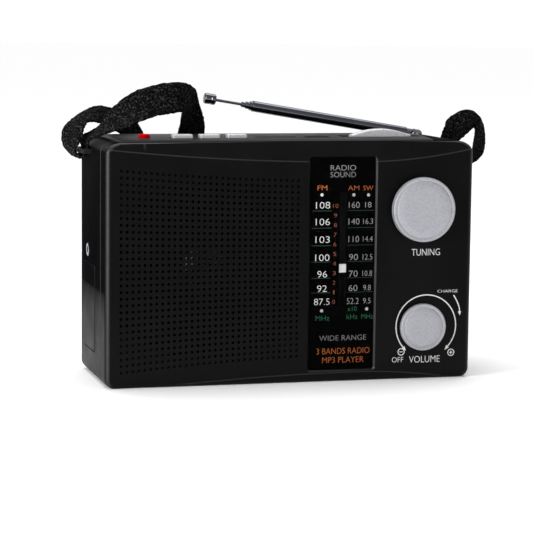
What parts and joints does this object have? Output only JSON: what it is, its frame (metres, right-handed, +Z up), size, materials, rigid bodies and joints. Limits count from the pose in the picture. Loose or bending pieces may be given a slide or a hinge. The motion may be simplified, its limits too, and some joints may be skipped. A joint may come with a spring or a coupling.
{
  "type": "portable shortwave receiver",
  "caption": "Portable three band radio with a speaker grille, a vertical dial, tuning and volume knobs, a telescopic antenna and a webbing carrying strap.",
  "frame": {"origin": "middle of the flat underside of the case", "axes": "+Z up, -Y out of the front with the dial, +X towards the knobs"},
  "size_m": [0.2351, 0.099, 0.1575],
  "materials": {
    "case_black": "fine satin",
    "deck_plastic": "fine satin",
    "dial_print": "gloss black with printed scales",
    "clear_plastic": "clear and polished",
    "silver_paint": "fine metallic paint",
    "chrome": "polished",
    "steel": "plated",
    "red_plastic": "satin",
    "white_plastic": "satin",
    "circuit_board": "solder mask",
    "copper_wire": "enamelled copper",
    "ferrite": "sintered",
    "paper_cone": "pulp",
    "dial_cord": "waxed thread",
    "battery_wrap": "shrink sleeve",
    "webbing": "knobbly woven webbing"
  },
  "bodies": {
    "case": {"front_cabinet": "case_black", "rear_cabinet": "case_black", "top_panel": "deck_plastic", "dial_lens": "clear_plastic", "dial_scale": "dial_print", "dial_cord": "dial_cord", "cord_guide_top": "white_plastic", "cord_guide_bottom": "white_plastic", "tuning_capacitor": "clear_plastic", "volume_control": "steel", "main_board": "circuit_board", "speaker_frame": "steel", "speaker_cone": "paper_cone", "speaker_magnet": "ferrite", "ferrite_rod": "ferrite", "aerial_coil": "copper_wire", "player_board": "circuit_board", "card_socket": "steel", "usb_socket": "steel", "band_switch": "steel", "case_screw_1": "steel", "case_screw_2": "steel", "case_screw_3": "steel", "case_screw_4": "steel", "side_panel": "case_black", "earphone_jack": "steel", "battery_tray": "case_black", "battery_1": "battery_wrap", "battery_2": "battery_wrap", "battery_spring": "steel", "strap_bar_left": "steel", "strap_bar_right": "steel", "strap_left_loop": "webbing", "strap_foot": "webbing", "strap_arc": "webbing", "strap_drop": "webbing", "strap_rear": "webbing", "strap_right_loop": "webbing"},
    "tuning": {"tuning_knob": "case_black", "tuning_knob_face": "silver_paint", "tuning_spindle": "steel", "dial_drum": "white_plastic"},
    "pointer": {"dial_pointer": "white_plastic"},
    "volume": {"volume_knob": "case_black", "volume_knob_face": "silver_paint", "volume_shaft": "steel"},
    "band": {"band_knob": "silver_paint"},
    "mode": {"mode_button": "red_plastic"},
    "previous": {"previous_button": "silver_paint"},
    "play": {"play_button": "silver_paint"},
    "next": {"next_button": "silver_paint"},
    "door": {"battery_door": "case_black"},
    "antenna_swivel": {"antenna_base": "chrome", "antenna_pin": "steel"},
    "antenna_arm": {"antenna_elbow": "chrome", "antenna_tube_1": "chrome"},
    "section_2": {"antenna_tube_2": "chrome"},
    "section_3": {"antenna_tube_3": "chrome"},
    "section_4": {"antenna_tube_4": "chrome"},
    "section_5": {"antenna_rod": "chrome"}
  },
  "joints": [
    {"name": "tuning_turn", "type": "hinge", "parent": "case", "child": "tuning", "pos_m": [0.0708, -0.036, 0.0917], "axis": [0, 1, 0], "range_deg": [-64.7, 115.1]},
    {"name": "pointer_slide", "type": "slide", "parent": "case", "child": "pointer", "axis": [0, 0, 1], "range_m": [-0.0227, 0.0403]},
    {"name": "volume_turn", "type": "hinge", "parent": "case", "child": "volume", "pos_m": [0.072, -0.036, 0.0285], "axis": [0, 1, 0], "range_deg": [-150, 150]},
    {"name": "band_slide", "type": "slide", "parent": "case", "child": "band", "axis": [1, 0, 0], "range_m": [-0.0045, 0.0045]},
    {"name": "mode_press", "type": "slide", "parent": "case", "child": "mode", "axis": [0, 0, -1], "range_m": [0, 0.0008], "stiffness_N_per_m": 400, "springref_m": -0.0004},
    {"name": "previous_press", "type": "slide", "parent": "case", "child": "previous", "axis": [0, 0, -1], "range_m": [0, 0.0008], "stiffness_N_per_m": 400, "springref_m": -0.0004},
    {"name": "play_press", "type": "slide", "parent": "case", "child": "play", "axis": [0, 0, -1], "range_m": [0, 0.0008], "stiffness_N_per_m": 400, "springref_m": -0.0004},
    {"name": "next_press", "type": "slide", "parent": "case", "child": "next", "axis": [0, 0, -1], "range_m": [0, 0.0008], "stiffness_N_per_m": 400, "springref_m": -0.0004},
    {"name": "door_hinge", "type": "hinge", "parent": "case", "child": "door", "pos_m": [0, 0.03485, 0.006], "axis": [-1, 0, 0], "range_deg": [0, 80]},
    {"name": "antenna_swivel_turn", "type": "hinge", "parent": "case", "child": "antenna_swivel", "pos_m": [0.089, 0.0285, 0.1279], "axis": [0, 0, -1], "range_deg": [0, 120]},
    {"name": "antenna_elbow_turn", "type": "hinge", "parent": "antenna_swivel", "child": "antenna_arm", "pos_m": [0.089, 0.0285, 0.1279], "axis": [0, 1, 0], "range_deg": [0, 80]},
    {"name": "antenna_slide_2", "type": "slide", "parent": "antenna_arm", "child": "section_2", "axis": [-0.9866, 0, 0.1633], "range_m": [0, 0.078]},
    {"name": "antenna_slide_3", "type": "slide", "parent": "section_2", "child": "section_3", "axis": [-0.9866, 0, 0.1633], "range_m": [0, 0.078]},
    {"name": "antenna_slide_4", "type": "slide", "parent": "section_3", "child": "section_4", "axis": [-0.9866, 0, 0.1633], "range_m": [0, 0.078]},
    {"name": "antenna_slide_5", "type": "slide", "parent": "section_4", "child": "section_5", "axis": [-0.9866, 0, 0.1633], "range_m": [0, 0.078]}
  ],
  "couplings": [
    {"joint": "pointer_slide", "follows": "tuning_turn", "m_per_rad": 0.02}
  ]
}
